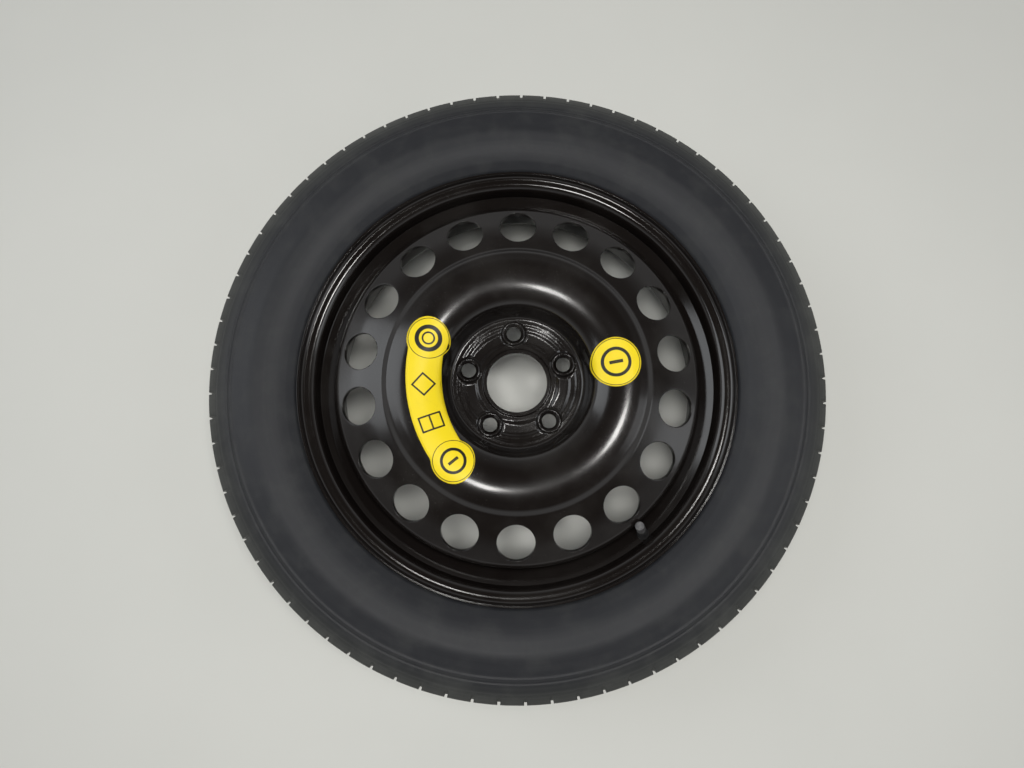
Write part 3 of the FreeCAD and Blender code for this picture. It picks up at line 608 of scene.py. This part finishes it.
def arc_label():
    """Band about its own centre: its half width is the larger of the band's and the round ends' there."""
    over = ARC_LABEL_END_R / ARC_LABEL_R
    shares = (1 - np.cos(np.linspace(0, math.pi, 121))) / 2
    swing = shares * (ARC_LABEL_TO - ARC_LABEL_FROM + 2 * over) + ARC_LABEL_FROM - over
    away = [ARC_LABEL_R * (swing - end) for end in (ARC_LABEL_FROM, ARC_LABEL_TO)]
    ends = [np.sqrt(np.maximum(0, ARC_LABEL_END_R ** 2 - run ** 2)) for run in away]
    band = np.where((swing > ARC_LABEL_FROM) & (swing < ARC_LABEL_TO), ARC_LABEL_HALF, 0)
    half = np.maximum(band, np.maximum(*ends))
    radius = ARC_LABEL_R + np.linspace(-1, 1, 15)[:, None] * half
    plan = ARC_LABEL_CENTRE + np.stack([radius * np.cos(swing), radius * np.sin(swing)], -1)
    return make_piece("arc_label", [(on_dome(plan), True, False)])


def band_angle(share):
    """Angle at a share of the curved label's length, about its own centre."""
    return ARC_LABEL_FROM + share * (ARC_LABEL_TO - ARC_LABEL_FROM)


def on_band(share):
    return ARC_LABEL_CENTRE + at_angle(ARC_LABEL_R, band_angle(share))


class Print(Recipe):
    """Yellow vinyl with black marks, each placed on the wheel in mm."""

    def __init__(self, name):
        super().__init__(name)
        self.ink = None

    def add(self, mark):
        self.ink = mark if self.ink is None else self.ink.maths("MAXIMUM", mark)

    def ring(self, centre, radius, half):
        away = self.distance(self.flat(), (*(centre * MM), 0))
        self.add(abs(away - radius * MM).rise((half + INK_EDGE) * MM, (half - INK_EDGE) * MM))

    def local(self, centre, turn):
        """Coordinates about a mark's centre, turned with it."""
        c, s = math.cos(turn), math.sin(turn)
        x, y = self.part(0) - centre[0] * MM, self.part(1) - centre[1] * MM
        return x * c + y * s, y * c - x * s

    def frame(self, centre, turn, half_x, half_y, line):
        """Outline of a box; with a line as wide as the box it is a solid bar."""
        x, y = self.local(centre, turn)
        edge = (abs(x) - half_x * MM).maths("MAXIMUM", abs(y) - half_y * MM)
        inside = edge.rise(INK_EDGE * MM, -INK_EDGE * MM)
        self.add(inside * edge.rise(-(line + INK_EDGE) * MM, -(line - INK_EDGE) * MM))

    def done(self):
        wear = self.noise(90.0, 4.0, 0.6)
        colour = self.mix(self.ink, self.mix(wear.rise(0.5, 0.9) * 0.25, VINYL, WORN_VINYL), INK)
        return self.finish(Base_Color=colour, Roughness=wear * 0.15 + 0.28, IOR=1.48)


label_piece = round_label()
marks = Print("round_label_print")
middle = at_angle(ROUND_LABEL_AT_R, ROUND_LABEL_ANGLE)
marks.ring(middle, 24.4, 0.35)
marks.ring(middle, 14.0, 1.7)
marks.frame(middle, ROUND_LABEL_ANGLE, 7.0, 1.7, 1.7)
label_piece.data.materials.append(marks.done())
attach(label_piece, "wheel")
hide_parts("label_round")

label_piece = arc_label()
marks = Print("arc_label_print")
for share in (0.0, 1.0):
    marks.ring(on_band(share), 21.0, 0.35)
marks.ring(on_band(0.0), 12.0, 2.2)
marks.ring(on_band(0.0), 6.0, 0.9)
marks.frame(on_band(0.36), band_angle(0.36) - 0.75 * math.pi, 9.0, 9.0, 1.8)
marks.frame(on_band(0.66), band_angle(0.66) - math.pi, 12.0, 8.5, 1.8)
marks.frame(on_band(0.66), band_angle(0.66) - math.pi, 0.9, 8.5, 0.9)
marks.ring(on_band(1.0), 12.0, 1.5)
marks.frame(on_band(1.0), band_angle(1.0) - math.pi, 6.0, 1.5, 1.5)
label_piece.data.materials.append(marks.done())
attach(label_piece, "wheel")
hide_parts("label_arc")

# Floor, light and camera: a plain pale floor under soft studio light, seen from almost straight above.
# Far from the wheel the floor glows as pale as the walls, so that it meets them without a dark band.
FLOOR_GAP = 0.0002
FLOOR_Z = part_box("tyre")[0].z - FLOOR_GAP
FLOOR_SPAN = (-40.0, 0.0, 40.0)
floor_x, floor_y = np.meshgrid(FLOOR_SPAN, FLOOR_SPAN)
floor_grid = np.stack([floor_x, floor_y, np.full_like(floor_x, FLOOR_Z)], -1)
floor = make_piece("floor", [(floor_grid, False, False)])
floor_finish = Recipe("pale_floor")
patch = floor_finish.noise(2.5, 4.0, 0.6)
far = floor_finish.distance(floor_finish.flat()).rise(1.0, 4.0)
floor_tone = floor_finish.mix(patch, rgb(0.60, 0.61, 0.58), rgb(0.66, 0.665, 0.635))
glow = floor_finish.mix(far, rgb(0.0, 0.0, 0.0), rgb(0.34, 0.34, 0.34))
floor.data.materials.append(floor_finish.finish(
    Base_Color=floor_tone, Roughness=0.7, Emission_Color=glow, Emission_Strength=1.0))

LAMPS = [
    # name, place, size, power, colour, shows in gloss; each is aimed at the wheel
    ("panel_right", (0.42, -0.05, 2.3), (0.4, 0.7), 9.5, (1.0, 0.985, 0.955), False),
    ("panel_left", (-0.42, -0.05, 2.3), (0.4, 0.7), 9.5, (1.0, 0.985, 0.955), False),
    ("lamp_above_camera", (0.0, -0.1, 1.0), (0.25, 0.25), 2.6, (1.0, 0.985, 0.955), False),
    ("ceiling_lamp", (0.65, 0.05, 2.4), (0.3, 0.3), 8.0, (1.0, 0.985, 0.96), True),
    ("lamp_behind", (-0.25, -0.32, 2.4), (0.3, 0.3), 7.0, (1.0, 0.985, 0.96), True),
    ("window_left", (-1.7, 0.5, 1.9), (1.2, 1.5), 11.0, (0.93, 0.965, 1.0), True),
    ("wall_right", (1.9, -0.3, 1.7), (0.8, 1.2), 4.0, (0.95, 0.975, 1.0), True),
]
for name, place, size, power, tint, in_gloss in LAMPS:
    light = bpy.data.lights.new(name, "AREA")
    light.shape, light.size, light.size_y = "RECTANGLE", *size
    light.energy, light.color = power, tint
    lamp = bpy.data.objects.new(name, light)
    lamp.location = place
    lamp.rotation_mode = "QUATERNION"
    lamp.rotation_quaternion = (-lamp.location).to_track_quat("-Z", "Y")
    lamp.visible_glossy = in_gloss
    lamp.visible_camera = False
    bpy.context.scene.collection.objects.link(lamp)

# The room's walls are pale and its ceiling is dark, so the sky dims from the horizon upwards.
WALL_TONE, CEILING_TONE = rgb(0.5, 0.5, 0.5), rgb(0.04, 0.035, 0.03)
DIM_FROM, DIM_TO = 0.3, 0.8
world = bpy.data.worlds.new("studio")
world.use_nodes = True
sky = world.node_tree
direction = sky.nodes.new("ShaderNodeTexCoord")
height = sky.nodes.new("ShaderNodeSeparateXYZ")
fade = sky.nodes.new("ShaderNodeMapRange")
fade.inputs["From Min"].default_value, fade.inputs["From Max"].default_value = DIM_FROM, DIM_TO
tone = sky.nodes.new("ShaderNodeMix")
tone.data_type = "RGBA"
tone.inputs[6].default_value, tone.inputs[7].default_value = WALL_TONE, CEILING_TONE
sky.links.new(direction.outputs["Generated"], height.inputs[0])
sky.links.new(height.outputs["Z"], fade.inputs["Value"])
sky.links.new(fade.outputs[0], tone.inputs[0])
sky.links.new(tone.outputs[2], sky.nodes["Background"].inputs["Color"])
bpy.context.scene.world = world
bpy.context.scene.view_settings.view_transform = "Standard"

SENSOR_MM, FRAME_PX, FOCAL_PX = 36.0, 1024, 700.0
CAMERA_AT = (-0.0029, -0.11852, 0.78772)
CAMERA_TILT = (math.radians(8.887), math.radians(0.189))
camera_data = bpy.data.cameras.new("camera")
camera_data.sensor_width = SENSOR_MM
camera_data.lens = FOCAL_PX * SENSOR_MM / FRAME_PX
camera = bpy.data.objects.new("camera", camera_data)
camera.location = CAMERA_AT
camera.rotation_euler = (*CAMERA_TILT, 0)
bpy.context.scene.collection.objects.link(camera)
bpy.context.scene.camera = camera
